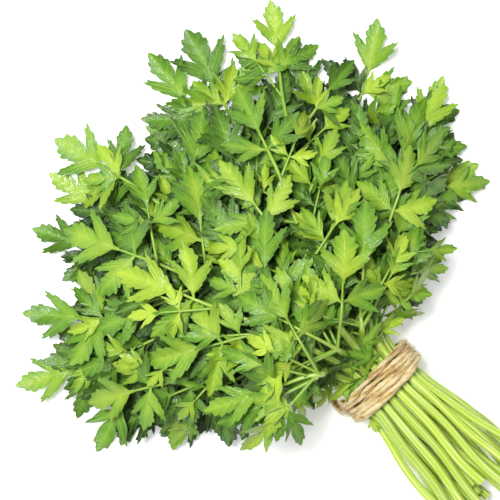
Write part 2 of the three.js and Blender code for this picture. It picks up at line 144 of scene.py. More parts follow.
SIDE_CORNERS = ((0.34, 0.18), (0.7, 0.4), (0.66, 0.16))
RIB_POINT = 0.46
LOOK = 0.2
MAP_CELL = 1.5
MAP_HALF = 260
MAP_PARTS = 12

# Outline of half a leaflet of length 1, tooth by tooth: each notch and each point, with its place along the
# rib, out from the rib, and where on the rib its vein starts
MIDDLE_TEETH = (
    ((0.18, 0.075, 0.07), (0.25, 0.2, 0.1)),
    ((0.295, 0.195, 0.12), (0.375, 0.31, 0.14)),
    ((0.415, 0.3, 0.16), (0.52, 0.41, 0.18)),
    ((0.55, 0.38, 0.2), (0.69, 0.47, 0.23)),
    ((0.645, 0.395, 0.25), (0.668, 0.36, 0.265)),
    ((0.605, 0.315, 0.28), (0.605, 0.285, 0.3)),
    ((0.42, 0.07, 0.33), (0.635, 0.19, 0.44)),
    ((0.655, 0.165, 0.51), (0.76, 0.22, 0.56)),
    ((0.785, 0.16, 0.64), (0.885, 0.155, 0.7)),
    ((0.895, 0.09, 0.78), (1.03, 0.0, 1.03)),
)
OUTER = {"lean": -0.07, "width": 1.08}
INNER = {"lean": 0.12, "width": 0.78}
LEAFLET_BASE = ((0.0, 0.025, 0.0), (0.06, 0.028, 0.025), (0.11, 0.038, 0.045))
TOOTH_COLUMNS = 4
RISE_BULGE = 0.1
FALL_BULGE = 0.05
LARGE_ROWS = 3
SMALL_ROWS = 2
SMALL_TEETH = (1, 3, 6, 8, 9)
TEMPLATE_THICKNESS = 0.02
TEMPLATE_KINDS = 3
TOOTH_JITTER = 0.012
SMOOTH_ANGLE = math.radians(50)
MERGE_DISTANCE = 1e-5
SHORTEST_EDGE = 1e-6

# How a leaflet is bent. Amounts are shares of its length, and waves are counted along it. The gap over the
# table and the height from which leaves are pressed down are in millimetres.
EDGE_WIDTH = (0.1, 0.4)
SIDE_BEND = 0.1
WIDTH = (0.95, 0.1)
FREE_FROM = 0.3
RUFFLES = 3.1
RUFFLE_POWER = 1.5
TILTS = 1.3
TILT_SHIFT = 2.2
CURL_FROM = 0.35
CURL_SPREAD = 0.8
BASE_WEIGHT = 4
BOW_EASE = (0, 0, 0.002, 0.01, 0.02, 0.02, 0.02)
TABLE_GAP = 0.05
TABLE_GAP_SPREAD = 0.3
TABLE_GAP_WAVES = 9
TOP = CAD_BOX[1][2] / MM
PRESSED_FROM = TOP - 2
PRESSED = 0.3

# Tone of a leaflet: painted shade that falls with its depth under what covers it, by a random share, and
# painted light that rises with the row of its stem
TONE_PLACES = np.array([[0.5, 0.0], [0.6, 0.2], [0.6, -0.2]])
TONE_LEAST = 0.02
TONE_RANGE = 0.72
TONE_DEPTH = 6.5
TONE_SHARE = (0.8, 0.4)
TONE_BY_ROW = 0.045

# Smaller sprays that the solids leave out, and the small leaflets where a petiole meets its spray
EXTRA_SHARES = (0.1, 0.28, 0.42, 0.56, 0.72, 0.88)
EXTRA_LAST_SHARE = 0.97
EXTRA_SHARE_JITTER = 0.12
EXTRA_START = 12
EXTRA_START_BY_ROW = 3
EXTRA_END = 6
EXTRA_PAIR_ROWS = 2
EXTRA_PAIR_GROWTH = 1.2
EXTRA_SIZE = 0.66
EXTRA_SIZE_JITTER = 0.22
EXTRA_PETIOLE = 13
EXTRA_PETIOLE_JITTER = 0.4
EXTRA_TURN = (48, 24)
EXTRA_CLEARANCE = 0.7
EXTRA_STEEPEST = 0.5
EXTRA_HANG = 0.3
COLLAR_ROWS = 3
COLLAR_TURN = (33, 8)
COLLAR_SIZE = 0.68
COLLAR_SIZE_JITTER = 0.15

# Stalks and petioles
STALK_RINGS = 64
STALK_SIDES = 18
STALK_START = ((0.008, 0), (0.008, 0.5), (0.0, 0.66), (0.0, 0.9))
STALK_END_RADII = (0.7, 0.5, 0.2)
STALK_GIRTH = (1, 0.14)
CUT_RADIUS = 0.95
CENTRE_STEPS = 200
SWEEP_STEP = 1e-3
PETIOLE_RINGS = 14
PETIOLE_SIDES = 8
PETIOLE_RADII = (0.85, 0.7, 0.5, 0.2)
EXTRA_PETIOLE_RADII = (0.75, 0.6, 0.42, 0.18)
PETIOLE_RIDGES = 3
PETIOLE_RIDGE_DEPTH = 0.12
RIB_START = np.array([[0.2, 0.0]])
RIB_DEPTH = 0.25
HUB_DEPTH = 0.1
BASE_DEPTH = 0.15
RIDGE_DRIFT = 1.5
RIDGE_DRIFT_WAVES = 4
SECTION = 0.93
SECTION_OVAL = 0.04
SECTION_FLAT = 0.05
UNDERSIDE = 0.2
WOBBLE_RUN = 40
WOBBLE_WAVE = 0.09
# Painted shade on the stalks: among the leaves it starts this far past the tie, grows over this run and thins
# out with height; each whole stalk also gets a random share
CROWN_SHADE_FROM = 7
CROWN_SHADE_RUN = 16
CROWN_SHADE_TOP = 1.25
CROWN_SHADE_HEIGHT = 60
SHADE = (0.25, 0.45)

# Small shoots by the tie: place and height of the root, heading in degrees, petiole, leaflet length and
# slimness. One with no petiole of its own has only its middle leaflet.
TIE_SHOOTS = (
    (3.2, -7.9, 22, 28, -3, 14, 1.1),
    (15.0, -12.0, 24, -80, 15, 15, 0.6),
    (16.0, -11.0, 24, -52, 3, 17, 0.9),
    (5.0, 1.0, 22, 22, 1, 17, 0.85),
    (7.5, 7.5, 22, 28, 2, 16, 0.9),
    (9.0, 13.0, 17, 34, 5, 15, 0.8),
    (12.0, -2.0, 24, -14, 4, 18, 0.9),
    (14.0, 6.0, 24, 26, 5, 18, 0.8),
    (18.0, -15.0, 20, -66, 6, 17, 0.85),
    (20.0, 2.0, 25, 6, 6, 19, 0.9),
    (22.0, 12.0, 24, 48, 5, 18, 0.9),
    (22.0, -8.0, 25, -34, 6, 19, 0.8),
    (28.0, 6.0, 27, 32, 7, 19, 0.85),
    (28.0, -3.0, 27, -20, 7, 18, 0.95),
    (-8.0, 14.6, 15, 152, -7.5, 7, 1.3),
)
# The tie shoots count as this row for the painted light that rises with the row
SHOOT_ROW = 3

# Twine. Its waves, swellings and strands each list an amount and a number of waves, then their phase, what
# each ply adds to it, or their drift along the twine and phase.
TWINE_TURNS = 5
TWINE_PITCH = 2.66
TWINE_HALF_WIDTH = 19.7
TWINE_HALF_HEIGHT = 12.7
TWINE_SQUARENESS = 2.6
TWINE_CENTRE = 13.4
TWINE_SHIFT = 0.6
TWINE_WAVES = ((0.3, 0.73, 0.6), (0.2, 1.61, 2.0))
TWINE_SPREAD = 0.86
TWINE_TOP_SPREAD = 0.1
TWINE_LOWER_SPREAD = 0.14
TWINE_STEPS = 84
TWINE_TAIL = ((5.2, 18.8, 15.0), (1.6, 21.2, 11.0), (1.4, 22.6, 7.6), (4.2, 23.0, 5.0), (8.4, 21.6, 3.4))
TAIL_STEPS = 36
PLIES = 2
PLY_SIDES = 10
PLY_SWELLINGS = ((0.12, 0.31, 1), (0.08, 0.83, 2))
PLY_LOWER_SWELLING = 0.2
PLY_LOWER_RUN = 5
PLY_STRANDS = ((0.1, 3, 0, np.pi / 2), (0.09, 7, 0.13, 0), (0.05, 5, 0.9, 0))
# Painted shade between the strands: how fast a ply lightens as it lies further out, and where that starts
GAP_SHADE_SLOPE = 2.0
GAP_SHADE_START = 1.15
FIBRE_RINGS = 5
FIBRE_SIDES = 4
# Painted light on the loose fibres
FIBRE_LIGHTNESS = 0.8
FIBRE_OUT = (0.3, 0.6)
FIBRE_OUT_SPREAD = 3
FIBRE_LENGTH = (4.5, 2.5)
FIBRE_ROOT = (0.75, 0.6)
FIBRE_FORWARD = 0.4
FIBRE_RISE = (0.7, 0.5)
FIBRE_LEAN = 0.2
FIBRE_STEPS = (0, 0.35, 0.7, 1)
FIBRE_TIP = 0.3
FIBRE_STEP = 0.004

# Stage, in metres
LAMP_PLACE = (0.44, 0.1, 1.26)
LAMP_SIZE = 0.55
SENSOR_WIDTH = 36

# Seeds of the draws. Three numbers are a start, and what the row and the place in it add, or for the
# leaflets that the others are copied from, what the number and the kind add.
LEAFLET_SEEDS = (31, 7, 26)
PLAN_SEEDS = (112648, 7919, 104729)
LOOKS_SEEDS = (1911662, 611953, 1299709)
EXTRA_SEEDS = (15485863, 32452843, 49979687)
COLLAR_SEED = 49979687
SHOOTS_SEED = 104395301
FIBRES_SEED = 86028121


def draws_from(seed, skipped=1):
    """A repeatable source of numbers between -1 and 1, past its first ones."""

    def numbers():
        state = seed
        while True:
            state = (state * 1664525 + 1013904223) % 4294967296
            yield state / 2147483648 - 1

    draw = numbers().__next__
    for _ in range(skipped):
        draw()
    return draw


def stem_draws(seeds, row, index):
    """The draws of one leafy stem."""
    return draws_from(seeds[0] + seeds[1] * row + seeds[2] * index)


def about(pair, draw):
    """A number drawn about its mean. The pair is the mean and the spread."""
    return pair[0] + pair[1] * draw()


def unit(vectors):
    """The same vectors with a length of 1."""
    return vectors / np.linalg.norm(vectors, axis=-1, keepdims=True)


def lengths_along(points):
    """How far along a line each of its points is."""
    return np.concatenate([[0], np.cumsum(np.linalg.norm(np.diff(points, axis=0), axis=1))])


def linear(value):
    """A screen colour, 0 to 255 each, as the colour that light is worked out with."""
    parts = [part / 255 for part in value]
    return tuple(p / 12.92 if p <= 0.04045 else ((p + 0.055) / 1.055) ** 2.4 for p in parts)


# Settings


def colour(name, description, value):
    """A colour property whose default is given as a screen colour."""
    return FloatVectorProperty(
        name=name, description=description, subtype="COLOR", size=3, min=0, max=1, default=linear(value)
    )


def size(name, description, value):
    """A length property, in metres, whose default is given in millimetres."""
    return FloatProperty(
        name=name, description=description, subtype="DISTANCE", unit="LENGTH", default=value * MM
    )


def share(name, description, value):
    """A plain number property."""
    return FloatProperty(name=name, description=description, default=value)


def angle(name, description, value):
    """An angle property whose default is given in degrees."""
    return FloatProperty(name=name, description=description, subtype="ANGLE", default=math.radians(value))


class LeafSettings(PropertyGroup):
    """Sizes and colours of the leaves."""

    thickness: size("Thickness", "Thickness of a blade", 0.36)
    ruffle: share("Ruffle", "Rise and fall of a leaflet's edge, as a share of its length", 0.035)
    lobe_tilt: share("Lobe tilt", "Tilt of each lobe, as a share of the leaflet's length", 0.06)
    tip_curl: share("Tip curl", "How far a leaflet's tip hangs, as a share of its length", 0.13)
    fold: share("Fold", "Slope of a leaflet's halves up from its rib", 0.2)
    roll: angle("Roll", "Turn of a leaflet about its own rib, at most", 36)
    # Painted light on the uppermost leaves, and painted shade on the leaves under others
    bright: colour("Bright leaf", "Colour of the uppermost leaves", (196, 224, 64))
    middle: colour("Middle leaf", "Colour of most leaves", (112, 166, 42))
    shaded_leaf: colour("Deep leaf", "Colour of the leaves under others", (30, 64, 28))
    vein: colour("Vein", "Colour of the veins", (196, 226, 120))
    under: colour("Underside", "Colour of the leaves' undersides", (150, 190, 110))


class StalkSettings(PropertyGroup):
    """Sizes and colours of the stalks and petioles."""

    ridge_depth: share("Ridge depth", "Depth of the lengthwise ridges, as a share of the radius", 0.07)
    ridges: IntProperty(name="Ridges", description="Number of lengthwise ridges", default=6, min=3)
    wobble: size("Wobble", "Sideways wander of a stalk below the tie", 1.3)
    # Paler ridges with a painted highlight on them
    ridge_and_highlight: colour("Ridge", "Colour of the ridges", (244, 248, 192))
    groove: colour("Groove", "Colour between the ridges", (186, 214, 58))
    # Painted shade on the stalks among the leaves, and in part on whole stalks
    shaded: colour("Crown stalk", "Colour of the stalks among the leaves", (92, 150, 38))
    cut: colour("Cut end", "Colour of the cut ends", (226, 236, 176))


class TwineSettings(PropertyGroup):
    """Sizes and colours of the jute twine."""

    radius: size("Radius", "Radius of the twine", 1.6)
    ply_radius: size("Ply radius", "Radius of each of its plies", 1.1)
    lay_length: size("Lay length", "Length in which the plies turn once", 30.0)
    fibres: IntProperty(name="Fibres", description="Number of loose fibres", default=900, min=0)
    fibre_radius: size("Fibre radius", "Radius of a loose fibre", 0.06)
    # Painted light on the outer fibres and painted shade between the strands
    pale: colour("Pale jute", "Colour of the upper fibres", (230, 214, 166))
    tan: colour("Tan jute", "Colour of most fibres", (216, 182, 106))
    dark: colour("Dark jute", "Colour between the strands", (150, 90, 30))


class StageSettings(PropertyGroup):
    """The floor, the light and the camera."""

    floor_half: size("Floor half width", "Half the width of the floor", 2500)
    floor: colour("Floor", "Colour of the floor", (246, 246, 246))
    camera_height: size("Camera height", "Height of the camera above the table", 900)
    view_width: size("View width", "Width that the picture shows at the tie's height", 230)
    view_centre: size("View centre", "Distance from the tie to the picture's middle", 84.6)
    view_turn: angle("View turn", "Turn of the camera about its own line of sight", -135)
    key_power: share("Key light", "Power of the large soft lamp, in watts", 27)
    fill: share("Surrounding light", "Strength of the light from all round", 0.4)
    glow: share("Table glow", "Light that the pale table adds by itself", 0.3)


# Plan of one leafy stem


def bend_through(start, middle, end):
    """Place and heading by share of the length on a bend, and its length."""
    shares = np.linspace(0, 1, BEND_DIVISIONS + 1)
    t = shares[:, None]
    points = (1 - t) ** 2 * start + 2 * (1 - t) * t * middle + t**2 * end
    along = lengths_along(points)

    def at(part):
        t = np.interp(part * along[-1], along, shares)
        way = (1 - t) * (middle - start) + t * (end - middle)
        place = (1 - t) ** 2 * start + 2 * (1 - t) * t * middle + t**2 * end
        return place, math.atan2(way[1], way[0])

    return at, along[-1]


def plan_stem(row, index, r):
    """The plan of one leafy stem: its stalk's corners and radii, and its sprays."""
    draw = stem_draws(PLAN_SEEDS, r, index)
    across = 2 * index / (row["stalks"] - 1) - 1
    y = across * (row["stalks"] - 1) * STALK_PITCH / 2
    angle = math.radians(across * row["fan"] - FAN_LEAN + FAN_JITTER * draw())
    reach = CROWN_REACH * math.cos(angle) ** CROWN_ROUNDNESS * (1 + CROWN_LEAN * math.sin(angle))
    reach *= row["reach"][index % 2] * (1 + REACH_JITTER * draw())
    length = LEAFLET * (1 + LEAFLET_JITTER * draw())
    cut = CUT_LENGTH + CUT_LENGTH_SPREAD * draw()
    wander = CUT_WANDER * draw()

    path = []
    for d in (cut, cut / 2):
        out = y * (1 + SPLAY_BELOW * d) + row["lean"] * (d - TIE_HALF_LENGTH) + wander * (d / CUT_LENGTH) ** 2
        path.append((-d, out))
    path += [(-TIE_HALF_LENGTH, y), (TIE_HALF_LENGTH, y)]
    neck = np.array([NECK, y * (1 + SPLAY_ABOVE * NECK)])
    path.append(tuple(neck))

    top = max(NECK + SHORTEST_UPPER, reach - length - MIDDLE_OFFSET - PETIOLE)
    out = (top - NECK) * BEND_SHARE
    middle = np.array([NECK + out * math.cos(angle / 2), neck[1] * BEND_SPREAD + out * math.sin(angle / 2)])
    end = np.array([top * math.cos(angle), top * math.sin(angle) + y * TOP_SPREAD])
    at, run = bend_through(neck, middle, end)

    joint = 1 - min(PAIR_BACK, PAIR_BACK_SHARE * run) / run
    half = JOINT_LENGTH / 2 / run
    even = [(i + 1) / UPPER_STEPS for i in range(UPPER_STEPS)]
    shares = sorted([*(t for t in even if abs(t - joint) > 0.5 / UPPER_STEPS), joint - half, joint + half])
    upper_from = len(path) - 1
    path = np.array(path + [tuple(at(t)[0]) for t in shares])

    # Radii, and the corners right and left of the stalk's middle line
    last = len(path) - 1
    ahead = path[np.minimum(np.arange(last + 1) + 1, last)] - path[np.maximum(np.arange(last + 1) - 1, 0)]
    way = np.arctan2(ahead[:, 1], ahead[:, 0])
    upper = np.maximum(0, (np.arange(last + 1) - upper_from) / (last - upper_from))
    radius = STALK_RADIUS + STALK_THICKENING * np.maximum(0, -path[:, 0])
    radius = radius + (STALK_TOP_RADIUS - STALK_RADIUS) * upper**STALK_TAPER
    right = path + STALK_SIDE * radius[:, None] * np.stack([np.sin(way), -np.cos(way)], axis=1)
    left = 2 * path - right

    slim = SLIM + SLIM_SPREAD * math.sin(SLIM_WAVES[0] * r + SLIM_WAVES[1] * index)
    sprays = []
    lower = upper_from + 1 + shares.index(joint - half)
    for side, corners in ((-1, right), (1, left)):
        turn = row["turn"] * (1 - FLANK_FOLD * max(0, side * across)) + TURN_JITTER * draw()
        spray_size = length * (SIDE_SPRAY + SIDE_SPRAY_JITTER * draw())
        petiole = SIDE_PETIOLE * (1 + SIDE_PETIOLE_JITTER * draw())
        for _ in range(SPRAY_DRAWS):
            draw()
        sprays.append({"side": side, "root": (corners[lower] + corners[lower + 1]) / 2,
                       "heading": at(joint)[1] + math.radians(side * turn),
                       "length": spray_size, "petiole": petiole, "slim": slim})
    heading = at(1)[1] + END_WANDER * draw()
    sprays.append({"side": 0, "root": path[last], "heading": heading,
                   "length": length, "petiole": PETIOLE, "slim": slim})
    return {"path": path, "radius": radius, "sprays": sprays, "at": at, "run": run, "length": length,
            "row": r, "index": index, "slim": slim}


def turned(heading):
    """Unit vectors along a heading and to its left."""
    return np.array([[math.cos(heading), math.sin(heading)], [-math.sin(heading), math.cos(heading)]])


def leaflets_of(spray):
    """The three leaflets of a spray: kind, base, heading, size and the corners of their plan."""
    ways = turned(spray["heading"])
    for kind, turn, offset, corners in (
        ("right", -SIDE_LEAFLET_TURN, SIDE_OFFSET, SIDE_CORNERS),
        ("middle", 0, MIDDLE_OFFSET, MIDDLE_CORNERS),
        ("left", SIDE_LEAFLET_TURN, SIDE_OFFSET, SIDE_CORNERS),
    ):
        if spray.get("single") and kind != "middle":
            continue
        length = spray["length"] * (1 if turn == 0 else SIDE_LEAFLET)
        base = spray["root"] + (spray["petiole"] + offset) * ways[0]
        local = [(RIB_POINT, 0), (1, 0)] + [(p, q * s) for p, q in corners for s in (-1, 1)]
        yield {"kind": kind, "base": base, "heading": spray["heading"] + math.radians(turn),
               "size": length, "corners": np.array(local), "slim": spray["slim"],
               "fineness": "small" if spray.get("extra") else "large"}


def places(leaflet, local):
    """Plan places of points that are given along and across a leaflet."""
    return leaflet["base"] + leaflet["size"] * local @ turned(leaflet["heading"])


# Heights, looked up on the frame's own solids


def coordinates(piece):
    """The vertices of a piece, as it is."""
    co = np.empty(len(piece.data.vertices) * 3)
    piece.data.vertices.foreach_get("co", co)
    return co.reshape(-1, 3)


def node_points(name):
    """The vertices of a node of the frame, in millimetres."""
    return coordinates(frame["nodes"][name]) / MM


def heights_near(points, *plan_places):
    """Heights of the vertices at the first of the places that has some."""
    for place in plan_places:
        near = np.hypot(*(points[:, :2] - place).T) < LOOK
        if near.any():
            return points[near, 2]
    raise RuntimeError("The frame has no corner where the plan of a leafy stem has one")


class HeightMap:
    """The height of what already lies on the table, on a square grid."""

    def __init__(self):
        self.count = int(2 * MAP_HALF / MAP_CELL)
        self.tops = np.zeros((self.count, self.count))

    def cells(self, plan):
        return np.clip(((plan + MAP_HALF) / MAP_CELL).astype(int), 1, self.count - 2)

    def cover(self, points):
        """Raises the map to those points."""
        i, j = self.cells(points[:, :2]).T
        np.maximum.at(self.tops, (i, j), points[:, 2])

    def cover_node(self, name):
        """Raises the map to a node's faces."""
        mesh = frame["nodes"][name].data
        mesh.calc_loop_triangles()
        corners = np.empty(len(mesh.loop_triangles) * 3, int)
        mesh.loop_triangles.foreach_get("vertices", corners)
        a, b, c = node_points(name)[corners.reshape(-1, 3)].transpose(1, 0, 2)
        for i in range(MAP_PARTS + 1):
            for j in range(MAP_PARTS + 1 - i):
                self.cover((a * (MAP_PARTS - i - j) + b * i + c * j) / MAP_PARTS)

    def over(self, plan):
        """The highest top close to each place."""
        i, j = self.cells(plan).T
        return np.max([self.tops[i + di, j + dj] for di in (-1, 0, 1) for dj in (-1, 0, 1)], axis=0)


# Modelling helpers


def deselect():
    """Leaves nothing selected."""
    bpy.ops.object.select_all(action="DESELECT")


def reshape(piece, co):
    """Moves the vertices of a piece."""
    piece.data.vertices.foreach_set("co", np.asarray(co, float).ravel())
    piece.data.update()


def mark(piece, name, values):
    """Gives a piece a number for each vertex, for its material to read."""
    attribute = piece.data.attributes.new(name, "FLOAT", "POINT")
    attribute.data.foreach_set("value", np.broadcast_to(values, len(piece.data.vertices)).astype(np.float32))


def add_grid(name, columns, rows):
    """A flat grid with its UV map, each vertex's column, and its place across from -1 to 1."""
    deselect()
    bpy.ops.mesh.primitive_grid_add(x_subdivisions=columns, y_subdivisions=rows, size=1, calc_uvs=True)
    piece = bpy.context.object
    piece.name = piece.data.name = name
    x, y, _ = coordinates(piece).T
    return piece, np.rint((x + 0.5) * columns).astype(int), 2 * y


def close_up(piece):
    """Merges the vertices of a rolled or gathered grid, and turns its faces out."""
    bpy.ops.object.mode_set(mode="EDIT")
    bpy.ops.mesh.select_all(action="SELECT")
    bpy.ops.mesh.remove_doubles(threshold=MERGE_DISTANCE)
    bpy.ops.mesh.dissolve_degenerate(threshold=SHORTEST_EDGE)
    bpy.ops.mesh.normals_make_consistent(inside=False)
    bpy.ops.object.mode_set(mode="OBJECT")


def copy_of(template, name):
    """A copy of a piece with a mesh of its own."""
    piece = template.copy()
    piece.data = template.data.copy()
    piece.name = piece.data.name = name
    bpy.context.scene.collection.objects.link(piece)
    return piece


def join(pieces, name):
    """Joins copies into one piece."""
    deselect()
    for piece in pieces:
        piece.select_set(True)
    bpy.context.view_layer.objects.active = pieces[0]
    bpy.ops.object.join()
    pieces[0].name = pieces[0].data.name = name
    return pieces[0]


def dress(piece, material, node):
    """Gives a finished piece its material, and places it on the frame."""
    piece.data.materials.append(material)
    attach(piece, "root")
    if node:
        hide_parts(node)


def model_tube(name, rings, sides, start=((0, 0),)):
    """A closed tube of length and radius 1 along X. start lists the place and radius of its first rings."""
    body = [(x, 1) for x in np.linspace(0, 1, rings)]
    profile = np.array([*start, *body, (1, 0)], float)
    tube, column, across = add_grid(name, len(profile) - 1, sides)
    turn = (across + 1) * np.pi
    along, radius = profile[column].T
    reshape(tube, np.stack([along, radius * np.cos(turn), radius * np.sin(turn)], axis=1))
    close_up(tube)
    bpy.ops.object.shade_smooth_by_angle(angle=SMOOTH_ANGLE)
    return tube


def line_through(points):
    """Places by share of the length on a smooth line through the points."""
    points = np.asarray(points, float)
    along = lengths_along(points)
    slopes = np.gradient(points, along, axis=0)

    def at(part):
        s = np.clip(part, 0, 1) * along[-1]
        k = np.clip(np.searchsorted(along, s, side="right") - 1, 0, len(along) - 2)
        step = (along[k + 1] - along[k])[:, None]
        t = (s - along[k])[:, None] / step
        start = points[k] * (1 + 2 * t) * (1 - t) ** 2 + slopes[k] * step * t * (1 - t) ** 2
        return start + points[k + 1] * t**2 * (3 - 2 * t) + slopes[k + 1] * step * t**2 * (t - 1)

    return at, along / along[-1]


def sweep(piece, points, radii, section=lambda turn, part: 1, wander=lambda centre, part: 0):
    """Bends a unit tube along a smooth line. section gives a share of the radius, and wander a shift."""
    co = coordinates(piece)
    at, shares = line_through(points)
    part = np.clip(co[:, 0], 0, 1)
    ahead = unit(at(part + SWEEP_STEP) - at(part - SWEEP_STEP))
    side = unit(np.cross([0, 0, 1], ahead))
    up = np.cross(ahead, side)
    turn = np.arctan2(co[:, 2], co[:, 1])
    radius = np.interp(part, shares, radii) * section(turn, part)
    centre = at(part)
    centre = centre + wander(centre, part)
    place = centre + side * (radius * co[:, 1])[:, None] + up * (radius * co[:, 2])[:, None]
    place[:, 2] = np.maximum(place[:, 2], 0)
    reshape(piece, place * MM)
    return part, turn


# Leaf templates


def leaning(teeth, lean, width):
    """Teeth of a leaflet's half that is wider or narrower, and leans back or on."""
    return [[(p + lean * q, q * width, rib) for p, q, rib in tooth] for tooth in teeth]


def half_outline(teeth, draw):
    """Outline of half a leaflet with the places on the rib that its points hang from."""
    corners = [np.array(point) for tooth in teeth for point in tooth]
    for corner in corners[1:-1:2]:
        corner[:2] += TOOTH_JITTER * np.array([draw(), draw()])
    outline = [np.array(point) for point in LEAFLET_BASE]
    for k, corner in enumerate(corners):
        outline.append(corner)
        if k < len(corners) - 1:
            step = corners[k + 1] - corner
            bulge = RISE_BULGE if k % 2 == 0 else FALL_BULGE
            outline.append(corner + step / 2 + bulge * np.array([-step[1], step[0], 0]))
    return np.array(outline)


def model_leaflet(name, right_teeth, left_teeth, rows, seed):
    """A flat leaflet of length 1 along X, cut into toothed lobes, with its thickness."""
    draw = draws_from(seed, 0)
    right = half_outline(right_teeth, draw)
    left = half_outline(left_teeth, draw)
    leaflet, column, out = add_grid(name, len(right) - 1, 2 * rows)
    edge = np.where(out[:, None] > 0, left[column], right[column])
    spread = np.abs(out)
    p = edge[:, 2] + (edge[:, 0] - edge[:, 2]) * spread
    q = edge[:, 1] * out
    reshape(leaflet, np.stack([p, q, np.zeros_like(p)], axis=1))
    mark(leaflet, "tooth", (column - len(LEAFLET_BASE) - 2) / TOOTH_COLUMNS)
    close_up(leaflet)
    bpy.ops.object.modifier_add(type="SOLIDIFY")
    solidify = leaflet.modifiers[-1]
    solidify.thickness = TEMPLATE_THICKNESS
    solidify.offset = 0
    bpy.ops.object.modifier_apply(modifier=solidify.name)
    bpy.ops.object.shade_smooth_by_angle(angle=SMOOTH_ANGLE)
    return leaflet


def model_leaflets():
    """The few leaflets that all the others are copied from."""
    templates = {}
    small_teeth = [MIDDLE_TEETH[i] for i in SMALL_TEETH]
    for size, rows, middle in (("large", LARGE_ROWS, MIDDLE_TEETH), ("small", SMALL_ROWS, small_teeth)):
        outer = leaning(middle, **OUTER)
        inner = leaning(middle, **INNER)
        halves = (("middle", middle, middle), ("right", outer, inner), ("left", inner, outer))
        for k in range(TEMPLATE_KINDS):
            for step, (kind, right, left) in enumerate(halves):
                seed = LEAFLET_SEEDS[0] + LEAFLET_SEEDS[1] * k + LEAFLET_SEEDS[2] * step
                name = f"{size}_{kind}_{k}"
                templates[size, kind, k] = model_leaflet(name, right, left, rows, seed)
    return templates


def bow_terms(local):
    """The terms of a leaflet's bowed surface for points along and across it."""
    p, q = local.T
    return np.stack([np.ones_like(p), p, q, p * p, p * q, q * q, np.abs(q)], axis=1)


def bow_through(leaflet, heights, base_height):
    """A smooth surface that passes close to the heights at the leaflet's corners, and through its base."""
    local = np.concatenate([[[0, 0]], leaflet["corners"]])
    target = np.concatenate([[base_height], heights]) / leaflet["size"]
    terms = bow_terms(local)
    weight = np.ones(len(local))
    weight[0] = BASE_WEIGHT
    square = terms.T @ (terms * weight[:, None]) + np.diag(BOW_EASE)
    return np.linalg.solve(square, terms.T @ (target * weight)) * leaflet["size"]


def lay_leaflet(templates, leaflet, bow, settings, draw, tone):
    """A copy of a leaflet, bent to its surface, with waves along its edge and lobes that tilt."""
    kind = int((draw() + 1) / 2 * TEMPLATE_KINDS) % TEMPLATE_KINDS
    piece = copy_of(templates[leaflet["fineness"], leaflet["kind"], kind], "leaflet")
    co = coordinates(piece)
    p, q, side = co[:, 0], co[:, 1], co[:, 2] / TEMPLATE_THICKNESS
    length = leaflet["size"]
    edge = np.abs(q) / (EDGE_WIDTH[0] + EDGE_WIDTH[1] * np.sin(np.pi * np.clip(p, 0, 1)))
    bend = SIDE_BEND * draw()
    phase = np.pi * draw()
    lobe_phase = np.pi * draw()
    width = leaflet["slim"] * about(WIDTH, draw)
    roll = settings.roll * draw()
    fold = settings.fold * (1 + draw())
    free = np.clip(p / FREE_FROM, 0, 1)
    height = bow_terms(np.stack([p, q], axis=1)) @ bow
    height = height + length * free * (q * math.sin(roll) + fold * np.abs(q))
    width = width * (1 - (1 - math.cos(roll)) * free) / math.sqrt(1 + fold * fold)
    wave = np.sin(2 * np.pi * RUFFLES * p + np.pi * np.sign(q) + phase)
    ripple = settings.ruffle * wave * np.minimum(edge, 1) ** RUFFLE_POWER
    wave = np.sin(2 * np.pi * TILTS * p + TILT_SHIFT * np.sign(q) + lobe_phase)
    tilt = settings.lobe_tilt * wave * np.minimum(edge, 1)
    curl = -settings.tip_curl * (1 + CURL_SPREAD * draw()) * np.clip(p - CURL_FROM, 0, 1) ** 2
    height = height + length * (ripple + tilt + curl)
    plan = places(leaflet, np.stack([p, width * q + bend * p * p], axis=1))
    half = settings.thickness / MM / 2
    gap = TABLE_GAP + TABLE_GAP_SPREAD * (1 + math.sin(TABLE_GAP_WAVES * leaflet["heading"]))
    height = np.maximum(height, half + gap)
    height = np.where(height > PRESSED_FROM, PRESSED_FROM + (height - PRESSED_FROM) * PRESSED, height)
    z = height + 2 * half * side
    reshape(piece, np.column_stack([plan, z]) * MM)
    # The tone carries the leaflet's painted shade
    mark(piece, "tone", tone)
    mark(piece, "under", (side < 0).astype(float))
    return piece


# Leafy stems


def extra_sprays(stem, centre_at):
    """Smaller sprays that the solids leave out, on either side of the stalk between its larger ones."""
    draw = stem_draws(EXTRA_SEEDS, stem["row"], stem["index"])
    sprays = []
    for k, part in enumerate(EXTRA_SHARES):
        start = EXTRA_START - EXTRA_START_BY_ROW * stem["row"]
        if part * stem["run"] < start or (1 - part) * stem["run"] < EXTRA_END:
            continue
        place, heading = stem["at"](min(EXTRA_LAST_SHARE, part * (1 + EXTRA_SHARE_JITTER * draw())))
        first = 1 if (k + stem["index"] + stem["row"]) % 2 else -1
        paired = stem["row"] < EXTRA_PAIR_ROWS
        growth = EXTRA_PAIR_GROWTH if paired else 1
        for side in (first, -first) if paired else (first,):
            sprays.append({
                "extra": True, "slim": stem["slim"], "root": place, "root_height": centre_at(place),
                "heading": heading + math.radians(side * about(EXTRA_TURN, draw)),
                "length": stem["length"] * EXTRA_SIZE * growth * (1 + EXTRA_SIZE_JITTER * draw()),
                "petiole": EXTRA_PETIOLE * (1 + EXTRA_PETIOLE_JITTER * draw()),
            })
    return sprays


